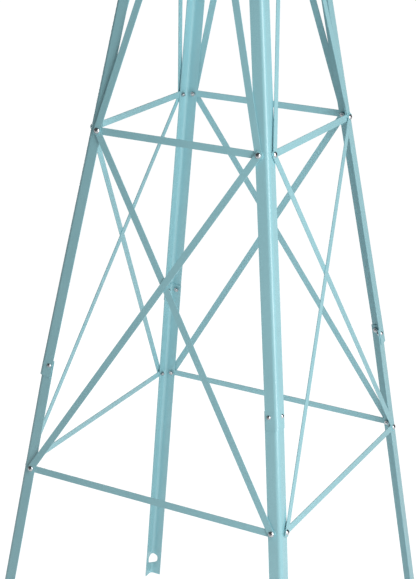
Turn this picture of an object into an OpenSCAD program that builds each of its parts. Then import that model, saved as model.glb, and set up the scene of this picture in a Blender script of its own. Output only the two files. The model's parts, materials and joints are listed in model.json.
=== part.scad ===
// Garden windmill: four folded-sheet legs braced with flat straps, a turning head, a wheel and a tail.
// Origin on the ground under the mast, +Z up, the wheel faces -Y.

/* [Tower] */
// Width across the outer leg corners at the ground
base_w = 641; // [450:1:900]
// Width across the outer leg corners at the top bolts
top_w = 123; // [112:1:180]
// How far the legs stand outside a straight line at the lower splice
splice_bulge = 7; // [0:0.5:12]
// Height of the lower ring of rails
lower_ring_z = 522; // [350:1:640]
// Height of the bolts in the lower leg splice
splice_z = 714; // [680:1:860]
// Height of the upper ring of rails
upper_ring_z = 1124; // [960:1:1300]
// Height of the bolts in the upper leg splice
upper_splice_z = 1416; // [1360:1:1560]
// Height of the bolts at the top of the legs
top_z = 1810; // [1640:1:2200]

/* [Legs] */
// Thickness of the leg sheet
leg_sheet = 1.2; // [0.8:0.1:2]
// Width of each leg flange
flange_w = 23; // [21:1:40]
// Inside radius of the leg bend
bend_r = 6; // [2:0.5:7]
// Distance from the leg corner to the bolts
bolt_inset = 16.5; // [13:0.5:18]
// Length of the outer leg below the splice bolts
lap_below = 18; // [12:1:30]
// Length of the inner leg above the splice bolts
lap_above = 11; // [9:1:20]
// Length of the leg above the top bolts
leg_over = 14; // [10:1:30]
// Width of the upright slot for a ground stake
stake_hole_d = 20; // [10:1:26]
// Length of the straight sides of the stake slot
stake_hole_side = 5; // [1:1:20]
// Height of the middle of the stake slot
stake_hole_z = 41; // [30:1:80]
// Clearance between nested legs
nest_gap = 0.15; // [0.1:0.05:0.5]

/* [Straps] */
// Width of the rails and braces
strap_w = 12; // [10:0.5:16]
// Thickness of the rails and braces
strap_t = 1.2; // [0.8:0.1:2]
// Length of a strap past its bolt
strap_end = 7; // [6:0.5:9]
// Corner radius of the strap ends
strap_corner_r = 3; // [1:0.5:4]
// Clearance between stacked straps
stack_gap = 0.15; // [0.1:0.05:0.4]

/* [Fasteners] */
// Diameter of the bolts
bolt_d = 5; // [4:0.5:6]
// Clearance of the bolts in their holes
bolt_clear = 0.5; // [0.3:0.1:1]
// Diameter of the domed bolt heads
head_d = 10; // [9:0.5:12]
// Diameter of the smaller heads in the leg splices
splice_head_d = 8; // [7:0.5:12]
// Height of the domed bolt heads
head_h = 3; // [2:0.5:4]
// Width of the nuts across their corners
nut_d = 9.2; // [8:0.1:11]
// Height of the nuts
nut_h = 4; // [3:0.5:6]
// Length of thread past the nuts
thread_end = 2; // [1:0.5:5]

/* [Cap and mast] */
// Thickness of the cap plate
cap_t = 2.5; // [2:0.5:5]
// Depth of the cap tabs below the top bolts
tab_below = 11; // [8:1:20]
// Diameter of the mast tube
mast_d = 22; // [18:1:26]
// Wall of the mast tube
mast_wall = 2; // [1.5:0.5:4]
// Diameter of the mast flange
mast_flange_d = 74; // [66:1:84]
// Thickness of the mast flange
mast_flange_t = 3; // [2:0.5:6]
// Radius of the circle of mast bolts
mast_bolt_r = 28; // [24:1:30]
// Height of the collar above the cap plate
collar_rise = 48; // [25:1:80]
// Height of the collar
collar_h = 8; // [5:1:15]
// Thickness of the thrust washer
washer_t = 2; // [1:0.5:4]

/* [Head] */
// Height of the wheel shaft above the top bolts
head_rise = 255; // [240:1:320]
// Outside diameter of the turning sleeve
sleeve_d = 38; // [36:1:50]
// Wall of the bushes in the sleeve
bush_wall = 3; // [2:0.5:4]
// Length of the bushes in the sleeve
bush_len = 24; // [15:1:35]
// Running clearance of everything that turns
run_gap = 0.3; // [0.2:0.05:0.5]
// Clearance of pressed and sliding parts that stay together
seat_gap = 0.05; // [0.02:0.01:0.15]
// Outside diameter of the shaft barrel
barrel_d = 40; // [34:1:50]
// Length of the barrel in front of the mast
barrel_front = 70; // [50:1:90]
// Length of the barrel behind the mast
barrel_rear = 44; // [35:1:70]
// Outside diameter of the shaft bearings
bearing_d = 26; // [22:1:28]
// Width of the shaft bearings
bearing_w = 8; // [6:1:12]

/* [Wheel] */
// Radius of the wheel
wheel_r = 375; // [300:1:440]
// Radius at the inner end of the sails
sail_inner_r = 135; // [120:1:160]
// Number of sails, three to each arm
sail_count = 18; // [12:3:18]
// Pitch of the sails
sail_pitch = 30; // [20:1:40]
// Width of a sail at its inner end
sail_inner_w = 42; // [30:1:46]
// Width of a sail at its outer end
sail_outer_w = 104; // [80:1:112]
// Radius of the curve across a sail
sail_curve_r = 130; // [100:1:300]
// Thickness of the sail sheet
sail_t = 1; // [0.8:0.1:2]
// Radius of the inner hoop
inner_hoop_r = 165; // [150:1:200]
// Radius of the outer hoop
outer_hoop_r = 325; // [250:1:345]
// Diameter of the hoop rod
hoop_d = 6; // [4:0.5:8]
// Width of the wheel arms
arm_w = 12; // [10:1:16]
// Thickness of the wheel arms
arm_t = 2.5; // [2:0.5:4]
// Diameter of the wheel shaft
shaft_d = 10; // [8:1:12]
// Diameter of the hub
hub_d = 30; // [26:1:32]
// Length of the hub
hub_len = 40; // [30:1:60]
// Diameter of the hub flange
hub_flange_d = 96; // [84:1:120]
// Thickness of the hub flange
hub_flange_t = 4; // [3:0.5:6]
// Clearance between the turning wheel and the tower
yaw_clear = 25; // [15:1:60]

/* [Tail] */
// Distance from the mast to the rear edge of the tail vane
tail_len = 640; // [500:1:800]
// Length of the tail vane
vane_len = 300; // [200:1:330]
// Height of the tail vane
vane_h = 250; // [150:1:300]
// Depth of the notch in the rear of the vane
vane_notch = 55; // [20:1:80]
// Thickness of the vane sheet
vane_t = 1.5; // [1:0.1:3]
// Width of the tail bars
tail_bar_w = 18; // [14:1:24]
// Thickness of the tail bars
tail_bar_t = 3; // [2:0.5:5]
// Distance between the middles of the tail bars
tail_bar_gap = 50; // [40:1:60]
// Thickness of the tail lug on the head
lug_t = 6; // [4:1:10]

/* [Hidden] */
$fn = 64;
teal = [0.49, 0.69, 0.72];
zinc = [0.78, 0.79, 0.80];
bright = [0.70, 0.71, 0.73];
nylon = [0.12, 0.12, 0.13];
cut = 0.01;
// Flats that make up the rounded bend of a leg
bend_steps = 12;

// Corner 0 is at +X -Y and each next one is a quarter turn on, as the faces are from -Y
corner_names = ["front_right", "back_right", "back_left", "front_left"];
face_names = ["front", "right", "back", "left"];

// Leg lines: the half width to the outer corner falls with height
line_at_splice = base_w / 2 - (base_w - top_w) / 2 * splice_z / top_z;
lower_slope = (base_w / 2 - line_at_splice - splice_bulge) / splice_z;
plain_slope = (line_at_splice + splice_bulge - top_w / 2) / (top_z - splice_z);
splice_gap = nest_gap + abs(plain_slope - lower_slope) * max(lap_below, lap_above);
splice_step = (leg_sheet + splice_gap) / cos(atan(plain_slope));
nest_step = (leg_sheet + nest_gap) / cos(atan(plain_slope));
middle_at_splice = half_w_lower(splice_z) + splice_step;
upper_slope = (middle_at_splice - top_w / 2 + nest_step) / (top_z - splice_z);

function half_w_lower(z) = base_w / 2 - lower_slope * z;
function half_w_middle(z) = middle_at_splice - upper_slope * (z - splice_z);
function half_w_upper(z) = half_w_middle(z) + nest_step;

// Bolt levels from the ground up
LOWER_RING = 0;
LOWER_SPLICE = 1;
UPPER_RING = 2;
UPPER_SPLICE = 3;
TOP = 4;
level_z = [lower_ring_z, splice_z, upper_ring_z, upper_splice_z, top_z];
level_h = [
    half_w_lower(lower_ring_z),
    half_w_middle(splice_z),
    half_w_middle(upper_ring_z),
    half_w_upper(upper_splice_z),
    half_w_upper(top_z)
];
level_slope = [lower_slope, upper_slope, upper_slope, upper_slope, upper_slope];
// Sheet behind the outer face at each level
level_grip = [leg_sheet, 2 * leg_sheet + splice_gap, leg_sheet, 2 * leg_sheet + nest_gap, leg_sheet];

layer_pitch = strap_t + stack_gap;
bolt_hole_d = bolt_d + bolt_clear;

function layer_z(layer) = (layer - 1) * layer_pitch + stack_gap;
function bolt_x(level) = level_h[level] - bolt_inset;
// Straps under a bolt head: rail or cap tab first, then the braces
function layers_at(level, side) =
    level == LOWER_SPLICE || level == UPPER_SPLICE ? 0 :
    level == UPPER_RING ? 3 :
    level == LOWER_RING ? (side > 0 ? 2 : 3) :
    (side > 0 ? 3 : 2);

// Cap and mast heights
cap_z = top_z + leg_over + 1;
cap_top_z = cap_z + cap_t;
cap_half = half_w_upper(cap_z) + layer_pitch + 1;
collar_z = cap_top_z + collar_rise;
washer_z = collar_z + collar_h;
sleeve_z = washer_z + washer_t + run_gap;
wheel_z = top_z + head_rise;
mast_top_z = wheel_z - barrel_d / 2 - 14;
sleeve_bore_top_z = mast_top_z + 3;
sleeve_bore_d = mast_d + 2 * run_gap + 2 * bush_wall;
washer_d = sleeve_bore_d + 6;

// Wheel place: far enough out to turn round the tower
sail_depth = sail_outer_w / 2 * sin(sail_pitch) + 5;
tower_reach = sqrt(2) * (half_w_upper(wheel_z - wheel_r) + 3 * layer_pitch);
wheel_out = max(tower_reach, barrel_front + hub_len) + sail_depth + yaw_clear;
arm_count = sail_count / 3;
arm_back = hoop_d / 2 + seat_gap;
hub_flange_front = -arm_back - arm_t;
hub_front = hub_flange_front + hub_len / 2;
hub_rear = hub_front - hub_len;
shaft_collar_h = 6;
shaft_collar_d = shaft_d + 8;
shaft_nut_h = 8;
shaft_nut_d = 18;
rivet_d = 4;
rivet_places = [hub_d / 2 + 9, hub_flange_d / 2 - 7];

// Tail places
tail_bar_x = lug_t / 2;
tail_bar_middle_z = wheel_z - barrel_d / 2 - 42;
lug_front = sleeve_d / 2 - 4;
lug_rear = sleeve_d / 2 + 52;
tail_bar_start = sleeve_d / 2 + 6;
vane_front = tail_len - vane_len;
tail_bar_end = tail_len - vane_notch - 30;
tail_bolt_places = [
    sleeve_d / 2 + 16,
    sleeve_d / 2 + 42,
    vane_front + 25,
    vane_front + (tail_bar_end - vane_front) / 2,
    tail_bar_end - 10
];

function corner_nodes(start) = [for (name = corner_names) str(start, name)];
function face_nodes(start, end) = [for (name = face_names) str(start, name, end)];

// Shared shapes

// A plane leaning back with the tower: X across the face, Y up the slope, Z outward
module in_plane(half_w, z, slope) {
    translate([0, -half_w, z])
        rotate([90 - atan(slope), 0, 0])
            children();
}

module at_bolt(level, side) {
    in_plane(level_h[level], level_z[level], level_slope[level])
        translate([side * bolt_x(level), 0, 0])
            children();
}

// The two bolts of corner 0 at one level
module at_corner_bolts(level) {
    at_bolt(level, 1) children();
    rotate([0, 0, 90]) at_bolt(level, -1) children();
}

// An angle with a rounded bend, its outer corner at the origin pointing along +X
module leg_section(slope) {
    half_angle = 90 - acos(pow(sin(atan(slope)), 2)) / 2;
    outer_r = bend_r + leg_sheet;
    middle = [-outer_r / sin(half_angle), 0];
    turns = [for (i = [-1:2 / bend_steps:1 + cut]) i * (90 - half_angle)];
    arc_out = [for (turn = turns) middle + outer_r * [cos(turn), sin(turn)]];
    arc_in = [for (turn = turns) middle + bend_r * [cos(-turn), sin(-turn)]];
    tip = flange_w * [-cos(half_angle), sin(half_angle)];
    inner_tip = tip - leg_sheet * [sin(half_angle), cos(half_angle)];
    polygon(concat(
        [[tip.x, -tip.y]],
        arc_out,
        [tip, inner_tip],
        arc_in,
        [[inner_tip.x, -inner_tip.y]]
    ));
}

// A leg of corner 0 between two heights
module leg_run(half_w, slope, z_start, z_end) {
    lean = atan(sqrt(2) * slope);
    rotate([0, 0, -45])
        translate([sqrt(2) * half_w, 0, z_start])
            rotate([0, -lean, 0])
                linear_extrude((z_end - z_start) / cos(lean))
                    leg_section(slope);
}

module bolt_drill() {
    translate([0, 0, -6]) cylinder(d = bolt_hole_d, h = 12);
}

module strap_outline(length) {
    far = length + strap_end;
    difference() {
        union() {
            translate([-strap_end + strap_corner_r, -strap_w / 2])
                square([length + 2 * (strap_end - strap_corner_r), strap_w]);
            translate([-strap_end, -strap_w / 2 + strap_corner_r])
                square([length + 2 * strap_end, strap_w - 2 * strap_corner_r]);
            for (x = [-strap_end + strap_corner_r, far - strap_corner_r])
                for (y = [-1, 1])
                    translate([x, y * (strap_w / 2 - strap_corner_r)]) circle(strap_corner_r);
        }
        for (x = [0, length])
            translate([x, 0]) circle(d = bolt_hole_d);
    }
}

module rail(level) {
    in_plane(level_h[level], level_z[level], level_slope[level])
        translate([-bolt_x(level), 0, layer_z(1)])
            linear_extrude(strap_t) strap_outline(2 * bolt_x(level));
}

// A brace from one bolt level up to another, rising towards the side given
module brace(low, high, side, layer) {
    rise = level_z[high] - level_z[low];
    slope = (level_h[low] - level_h[high]) / rise;
    up = rise / cos(atan(slope));
    across = side * (bolt_x(low) + bolt_x(high));
    in_plane(level_h[low], level_z[low], slope)
        translate([-side * bolt_x(low), 0, layer_z(layer)])
            rotate([0, 0, atan2(up, across)])
                linear_extrude(strap_t) strap_outline(norm([up, across]));
}

module domed_head(d, h) {
    dome_r = (pow(d / 2, 2) + pow(h, 2)) / (2 * h);
    intersection() {
        cylinder(d = d, h = h);
        translate([0, 0, h - dome_r]) sphere(dome_r);
    }
}

// A bolt with its head on z = top and its nut against z = -grip
module bolt(top, grip, width = head_d) {
    length = top + grip + nut_h + thread_end;
    translate([0, 0, top]) domed_head(width, head_h * width / head_d);
    translate([0, 0, top - length]) cylinder(d = bolt_d, h = length + cut);
}

module nut() {
    difference() {
        cylinder(d = nut_d, h = nut_h, $fn = 6);
        translate([0, 0, -1]) cylinder(d = bolt_d + 0.1, h = nut_h + 2);
    }
}

module ring(outer_d, inner_d, height) {
    difference() {
        cylinder(d = outer_d, h = height);
        translate([0, 0, -1]) cylinder(d = inner_d, h = height + 2);
    }
}

// The wheel's own place: Z forward along the shaft
module on_wheel() {
    translate([0, -wheel_out, wheel_z])
        rotate([90, 0, 0])
            children();
}

// Flat work beside the mast: X rearward, Y up, Z towards +X
module on_tail() {
    rotate([90, 0, 90]) children();
}

// Tower

module lower_leg(corner) {
    color(teal) rotate([0, 0, 90 * corner]) difference() {
        leg_run(half_w_lower(-10), lower_slope, -10, splice_z + lap_above);
        translate([0, -base_w, -20]) cube([base_w, base_w, 20]);
        at_corner_bolts(LOWER_RING) bolt_drill();
        at_corner_bolts(LOWER_SPLICE) bolt_drill();
        rotate([0, 0, -45]) stake_slot();
    }
}

// Upright slot with round ends, along +X
module stake_slot() {
    translate([0, 0, stake_hole_z])
        rotate([0, 90, 0]) {
            for (side = [-1, 1])
                translate([side * stake_hole_side / 2, 0, 0]) cylinder(d = stake_hole_d, h = base_w);
            translate([-stake_hole_side / 2, -stake_hole_d / 2, 0])
                cube([stake_hole_side, stake_hole_d, base_w]);
        }
}

module middle_leg(corner) {
    z_start = splice_z - lap_below;
    color(teal) rotate([0, 0, 90 * corner]) difference() {
        leg_run(half_w_middle(z_start), upper_slope, z_start, upper_splice_z + lap_above);
        for (level = [LOWER_SPLICE, UPPER_RING, UPPER_SPLICE])
            at_corner_bolts(level) bolt_drill();
    }
}

module upper_leg(corner) {
    z_start = upper_splice_z - lap_below;
    color(teal) rotate([0, 0, 90 * corner]) difference() {
        leg_run(half_w_upper(z_start), upper_slope, z_start, top_z + leg_over);
        for (level = [UPPER_SPLICE, TOP])
            at_corner_bolts(level) bolt_drill();
    }
}

module lower_rail(face) {
    color(teal) rotate([0, 0, 90 * face]) rail(LOWER_RING);
}

module upper_rail(face) {
    color(teal) rotate([0, 0, 90 * face]) rail(UPPER_RING);
}

// The inner brace of a lower panel rises to the left, the outer one over it to the right
module lower_brace_inner(face) {
    color(teal) rotate([0, 0, 90 * face]) brace(LOWER_RING, UPPER_RING, -1, 2);
}

module lower_brace_outer(face) {
    color(teal) rotate([0, 0, 90 * face]) brace(LOWER_RING, UPPER_RING, 1, 3);
}

module upper_brace_inner(face) {
    color(teal) rotate([0, 0, 90 * face]) brace(UPPER_RING, TOP, -1, 2);
}

module upper_brace_outer(face) {
    color(teal) rotate([0, 0, 90 * face]) brace(UPPER_RING, TOP, 1, 3);
}

module at_all_bolts(levels) {
    for (face = [0:3])
        for ($level = levels)
            for ($side = [-1, 1])
                rotate([0, 0, 90 * face])
                    at_bolt($level, $side)
                        children();
}

module level_bolts(levels, width) {
    color(zinc) at_all_bolts(levels)
        bolt(layer_z(layers_at($level, $side) + 1), level_grip[$level] + stack_gap, width);
}

module level_nuts(levels) {
    color(zinc) at_all_bolts(levels)
        translate([0, 0, -level_grip[$level] - stack_gap - nut_h]) nut();
}

module cap_plate() {
    tab_half = bolt_x(TOP) + strap_end;
    tab_rise = (cap_z + cap_t / 2 - top_z) / cos(atan(upper_slope));
    corner_r = 5;
    color(teal) {
        difference() {
            union() {
                translate([-cap_half, -cap_half + corner_r, cap_z])
                    cube([2 * cap_half, 2 * (cap_half - corner_r), cap_t]);
                translate([-cap_half + corner_r, -cap_half, cap_z])
                    cube([2 * (cap_half - corner_r), 2 * cap_half, cap_t]);
                for (x = [-1, 1], y = [-1, 1])
                    translate([x * (cap_half - corner_r), y * (cap_half - corner_r), cap_z])
                        cylinder(r = corner_r, h = cap_t);
                for (face = [0:3])
                    rotate([0, 0, 90 * face])
                        in_plane(level_h[TOP], top_z, upper_slope)
                            translate([-tab_half, -tab_below, layer_z(1)])
                                cube([2 * tab_half, tab_below + tab_rise, strap_t]);
            }
            for (face = [0:3], side = [-1, 1])
                rotate([0, 0, 90 * face]) at_bolt(TOP, side) bolt_drill();
            translate([0, 0, cap_z - 1]) cylinder(d = mast_d - 2 * mast_wall, h = cap_t + 2);
            for (turn = [0:3])
                rotate([0, 0, 45 + 90 * turn])
                    translate([mast_bolt_r, 0, cap_z - 1])
                        cylinder(d = bolt_d + 0.1, h = cap_t + 2);
        }
    }
}

module mast() {
    color(teal) difference() {
        union() {
            translate([0, 0, cap_top_z]) cylinder(d = mast_flange_d, h = mast_flange_t);
            translate([0, 0, cap_top_z]) cylinder(d = mast_d, h = mast_top_z - cap_top_z);
            translate([0, 0, collar_z]) cylinder(d = washer_d, h = collar_h);
        }
        translate([0, 0, cap_top_z - 1])
            cylinder(d = mast_d - 2 * mast_wall, h = mast_top_z - cap_top_z + 2);
        for (turn = [0:3])
            rotate([0, 0, 45 + 90 * turn])
                translate([mast_bolt_r, 0, cap_top_z - 1])
                    cylinder(d = bolt_hole_d, h = mast_flange_t + 2);
    }
}

module mast_bolts() {
    length = mast_flange_t + cap_t + 5;
    color(zinc)
        for (turn = [0:3])
            rotate([0, 0, 45 + 90 * turn])
                translate([mast_bolt_r, 0, cap_top_z + mast_flange_t]) {
                    domed_head(head_d, head_h);
                    translate([0, 0, -length]) cylinder(d = bolt_d, h = length + cut);
                }
}

module thrust_washer() {
    color(nylon) translate([0, 0, washer_z]) ring(washer_d, mast_d + 2 * seat_gap, washer_t);
}

// Head

module head_housing() {
    lug_low = tail_bar_middle_z - tail_bar_gap / 2 - tail_bar_w / 2;
    color(teal) difference() {
        union() {
            translate([0, 0, sleeve_z]) cylinder(d = sleeve_d, h = wheel_z - sleeve_z);
            translate([0, barrel_rear, wheel_z])
                rotate([90, 0, 0])
                    cylinder(d = barrel_d, h = barrel_front + barrel_rear);
            translate([-lug_t / 2, lug_front, lug_low])
                cube([lug_t, lug_rear - lug_front, tail_bar_gap + tail_bar_w]);
        }
        translate([0, 0, sleeve_z - 1])
            cylinder(d = sleeve_bore_d + 2 * seat_gap, h = sleeve_bore_top_z - sleeve_z + 1);
        translate([0, barrel_rear + 1, wheel_z])
            rotate([90, 0, 0])
                cylinder(d = bearing_d - 6, h = barrel_front + barrel_rear + 2);
        for (y = [-barrel_front + bearing_w, barrel_rear + 1])
            translate([0, y, wheel_z])
                rotate([90, 0, 0])
                    cylinder(d = bearing_d + 2 * seat_gap, h = bearing_w + 1);
        on_tail()
            for (side = [-1, 1], place = [tail_bolt_places[0], tail_bolt_places[1]])
                translate([place, tail_bar_middle_z + side * tail_bar_gap / 2, -lug_t])
                    cylinder(d = bolt_hole_d, h = 2 * lug_t);
    }
}

module yaw_bushes() {
    color(nylon)
        for (z = [sleeve_z, sleeve_bore_top_z - 1 - bush_len])
            translate([0, 0, z]) ring(sleeve_bore_d, mast_d + 2 * run_gap, bush_len);
}

module shaft_bearings() {
    color(bright)
        for (y = [-barrel_front + bearing_w, barrel_rear])
            translate([0, y, wheel_z])
                rotate([90, 0, 0])
                    ring(bearing_d, shaft_d + 2 * run_gap, bearing_w);
}

module tail_bar(side) {
    middle = tail_bar_middle_z + side * tail_bar_gap / 2;
    end_r = tail_bar_w / 2;
    color(teal) on_tail()
        translate([0, 0, tail_bar_x])
            linear_extrude(tail_bar_t)
                difference() {
                    union() {
                        translate([tail_bar_start, middle - end_r])
                            square([tail_bar_end - tail_bar_start, 2 * end_r]);
                        translate([tail_bar_end, middle]) circle(end_r);
                    }
                    for (place = tail_bolt_places)
                        translate([place, middle]) circle(d = bolt_hole_d);
                }
}

module tail_bar_upper() {
    tail_bar(1);
}

module tail_bar_lower() {
    tail_bar(-1);
}

module tail_vane() {
    front_half = vane_h * 0.3;
    color(teal) on_tail()
        translate([0, 0, tail_bar_x - vane_t])
            linear_extrude(vane_t)
                difference() {
                    translate([0, tail_bar_middle_z])
                        polygon([
                            [vane_front, -front_half],
                            [vane_front + vane_len * 0.35, -vane_h / 2],
                            [tail_len, -vane_h / 2],
                            [tail_len - vane_notch, 0],
                            [tail_len, vane_h / 2],
                            [vane_front + vane_len * 0.35, vane_h / 2],
                            [vane_front, front_half]
                        ]);
                    for (side = [-1, 1], bolt = [2:4])
                        translate([tail_bolt_places[bolt], tail_bar_middle_z + side * tail_bar_gap / 2])
                            circle(d = bolt_hole_d);
                }
}

module at_tail_bolts() {
    on_tail()
        for (side = [-1, 1])
            for ($bolt = [0:4])
                translate([tail_bolt_places[$bolt], tail_bar_middle_z + side * tail_bar_gap / 2, tail_bar_x])
                    children();
}

module tail_bolts() {
    color(zinc) at_tail_bolts() bolt(tail_bar_t, $bolt < 2 ? lug_t : vane_t);
}

module tail_nuts() {
    color(zinc) at_tail_bolts()
        translate([0, 0, -nut_h - ($bolt < 2 ? lug_t : vane_t)]) nut();
}

// Wheel

module wheel_shaft() {
    front = hub_front + shaft_nut_h + 4;
    rear = -wheel_out - barrel_rear - shaft_nut_h - 4;
    color(bright) on_wheel() {
        translate([0, 0, rear]) cylinder(d = shaft_d, h = front - rear);
        translate([0, 0, hub_rear - shaft_collar_h]) cylinder(d = shaft_collar_d, h = shaft_collar_h);
    }
}

module shaft_nuts() {
    color(zinc) on_wheel()
        for (z = [hub_front + seat_gap, -wheel_out - barrel_rear - run_gap - shaft_nut_h])
            translate([0, 0, z])
                difference() {
                    cylinder(d = shaft_nut_d, h = shaft_nut_h, $fn = 6);
                    translate([0, 0, -1]) cylinder(d = shaft_d + 2 * seat_gap, h = shaft_nut_h + 2);
                }
}

module at_arms() {
    for (arm = [0:arm_count - 1])
        rotate([0, 0, 90 + 180 / sail_count + 360 / arm_count * arm])
            children();
}

module wheel_hub() {
    color(teal) on_wheel() difference() {
        union() {
            translate([0, 0, hub_rear]) cylinder(d = hub_d, h = hub_len);
            translate([0, 0, hub_flange_front - hub_flange_t])
                cylinder(d = hub_flange_d, h = hub_flange_t);
        }
        translate([0, 0, hub_rear - 1]) cylinder(d = shaft_d + 2 * seat_gap, h = hub_len + 2);
        at_arms()
            for (place = rivet_places)
                translate([place, 0, hub_flange_front - hub_flange_t - 1])
                    cylinder(d = rivet_d + 0.2, h = hub_flange_t + 2);
    }
}

module wheel_arms() {
    inner = hub_d / 2 + 2;
    outer = outer_hoop_r + 8;
    color(teal) on_wheel() at_arms()
        translate([0, 0, hub_flange_front])
            linear_extrude(arm_t)
                difference() {
                    union() {
                        translate([inner, -arm_w / 2]) square([outer - inner, arm_w]);
                        translate([outer, 0]) circle(d = arm_w);
                    }
                    for (place = rivet_places)
                        translate([place, 0]) circle(d = rivet_d + 0.2);
                }
}

module arm_rivets() {
    color(zinc) on_wheel() at_arms()
        for (place = rivet_places)
            translate([place, 0, hub_flange_front]) {
                translate([0, 0, arm_t]) domed_head(2 * rivet_d, 2);
                translate([0, 0, -hub_flange_t]) mirror([0, 0, 1]) domed_head(1.6 * rivet_d, 1.2);
                translate([0, 0, -hub_flange_t - cut])
                    cylinder(d = rivet_d, h = hub_flange_t + arm_t + 2 * cut);
            }
}

module hoop(radius) {
    color(teal) on_wheel()
        rotate_extrude()
            translate([radius, 0]) circle(d = hoop_d);
}

module inner_hoop() {
    hoop(inner_hoop_r);
}

module outer_hoop() {
    hoop(outer_hoop_r);
}

// One sail standing along +Y, threaded on the two hoops; the arms stand between the sails
module sail() {
    outer_r = wheel_r - 5;
    difference() {
        rotate([0, sail_pitch, 0])
            intersection() {
                translate([0, 0, -sail_curve_r])
                    rotate([-90, 0, 0])
                        difference() {
                            cylinder(r = sail_curve_r + sail_t / 2, h = wheel_r, $fn = 128);
                            translate([0, 0, -1])
                                cylinder(r = sail_curve_r - sail_t / 2, h = wheel_r + 2, $fn = 128);
                        }
                translate([0, 0, -sail_curve_r / 2])
                    linear_extrude(sail_curve_r)
                        polygon([
                            [-sail_inner_w / 2, sail_inner_r],
                            [sail_inner_w / 2, sail_inner_r],
                            [sail_outer_w / 2, outer_r - 6],
                            [sail_outer_w / 2 - 6, outer_r],
                            [-sail_outer_w / 2 + 6, outer_r],
                            [-sail_outer_w / 2, outer_r - 6]
                        ]);
            }
        for (radius = [inner_hoop_r, outer_hoop_r])
            translate([-12, radius, 0])
                rotate([0, 90, 0])
                    cylinder(d = hoop_d + 1, h = 24);
    }
}

module sails() {
    color(teal) on_wheel()
        for (place = [0:sail_count - 1])
            rotate([0, 0, 360 / sail_count * place]) sail();
}

for (corner = [0:3]) {
    lower_leg(corner);
    middle_leg(corner);
    upper_leg(corner);
}
for (face = [0:3]) {
    lower_rail(face);
    upper_rail(face);
    lower_brace_inner(face);
    lower_brace_outer(face);
    upper_brace_inner(face);
    upper_brace_outer(face);
}
level_bolts([LOWER_RING, UPPER_RING, TOP], head_d);  // ring_bolts
level_nuts([LOWER_RING, UPPER_RING, TOP]);  // ring_nuts
level_bolts([LOWER_SPLICE, UPPER_SPLICE], splice_head_d);  // splice_bolts
level_nuts([LOWER_SPLICE, UPPER_SPLICE]);  // splice_nuts
cap_plate();
mast();
mast_bolts();
thrust_washer();
head_housing();
yaw_bushes();
shaft_bearings();
tail_bar_upper();
tail_bar_lower();
tail_vane();
tail_bolts();
tail_nuts();
wheel_shaft();
wheel_hub();
wheel_arms();
arm_rivets();
inner_hoop();
outer_hoop();
sails();
shaft_nuts();
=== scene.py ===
import json
import math
import random

import bmesh
import bpy
import numpy as np
from mathutils import Matrix, Vector


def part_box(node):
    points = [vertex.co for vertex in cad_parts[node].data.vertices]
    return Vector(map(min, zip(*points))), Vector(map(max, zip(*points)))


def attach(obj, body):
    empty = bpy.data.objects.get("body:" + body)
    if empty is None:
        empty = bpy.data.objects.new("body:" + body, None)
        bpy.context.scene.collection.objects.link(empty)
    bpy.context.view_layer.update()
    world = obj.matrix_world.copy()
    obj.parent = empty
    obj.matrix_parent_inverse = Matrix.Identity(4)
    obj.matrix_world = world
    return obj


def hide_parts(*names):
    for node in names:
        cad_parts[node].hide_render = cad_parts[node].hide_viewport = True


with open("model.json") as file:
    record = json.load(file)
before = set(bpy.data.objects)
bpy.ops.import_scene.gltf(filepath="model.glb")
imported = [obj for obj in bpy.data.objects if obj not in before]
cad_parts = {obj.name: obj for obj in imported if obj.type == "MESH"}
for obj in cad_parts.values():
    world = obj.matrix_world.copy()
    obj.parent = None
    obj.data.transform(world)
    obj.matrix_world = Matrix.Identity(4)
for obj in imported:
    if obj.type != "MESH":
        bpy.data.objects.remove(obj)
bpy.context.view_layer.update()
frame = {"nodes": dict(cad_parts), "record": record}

mm = 0.001


def middle(node):
    low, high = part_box(node)
    return (low + high) / 2


# ---- camera: a long lens from the front right, looking down on the lower tower

cameraSet = {
    "azimuth": 27.77,      # degrees round from the front towards the right
    "elevation": 19.96,
    "roll": -1.19,
    "distance": 2.814,     # metres from the middle of the lower ring
    "slideRight": -0.015,  # metres from that middle to the lens axis
    "slideUp": 0.282,
    "lens": 95.8,
    "sensor": 36.0,
}


def placeCamera(s):
    azimuth = math.radians(s["azimuth"])
    elevation = math.radians(s["elevation"])
    roll = math.radians(s["roll"])
    back = Vector((
        math.sin(azimuth) * math.cos(elevation),
        -math.cos(azimuth) * math.cos(elevation),
        math.sin(elevation),
    ))
    level = Vector((math.cos(azimuth), math.sin(azimuth), 0))
    upright = back.cross(level)
    right = level * math.cos(roll) - upright * math.sin(roll)
    up = level * math.sin(roll) + upright * math.cos(roll)
    aim = Vector((0, 0, middle("lower_rail_front").z))
    data = bpy.data.cameras.new("towerCamera")
    data.lens = s["lens"]
    data.sensor_width = s["sensor"]
    camera = bpy.data.objects.new("towerCamera", data)
    bpy.context.scene.collection.objects.link(camera)
    spin = Matrix((right, up, back)).transposed().to_4x4()
    place = aim + back * s["distance"] + right * s["slideRight"] + up * s["slideUp"]
    camera.matrix_world = Matrix.Translation(place) @ spin
    bpy.context.scene.camera = camera


placeCamera(cameraSet)
print("camera placed")


# ---- node helpers

def addNode(tree, kind, x=0, y=0, **values):
    node = tree.nodes.new(kind)
    node.location = (x, y)
    for key, value in values.items():
        if hasattr(node, key):
            setattr(node, key, value)
        else:
            node.inputs[key.replace("_", " ")].default_value = value
    return node


def feed(tree, socket, item):
    # a socket takes either a link or a plain value
    if isinstance(item, bpy.types.NodeSocket):
        tree.links.new(item, socket)
    else:
        socket.default_value = item


def mathNode(tree, operation, first, second, x=0, y=0):
    node = addNode(tree, "ShaderNodeMath", x, y, operation=operation)
    feed(tree, node.inputs[0], first)
    feed(tree, node.inputs[1], second)
    return node.outputs[0]


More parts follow.
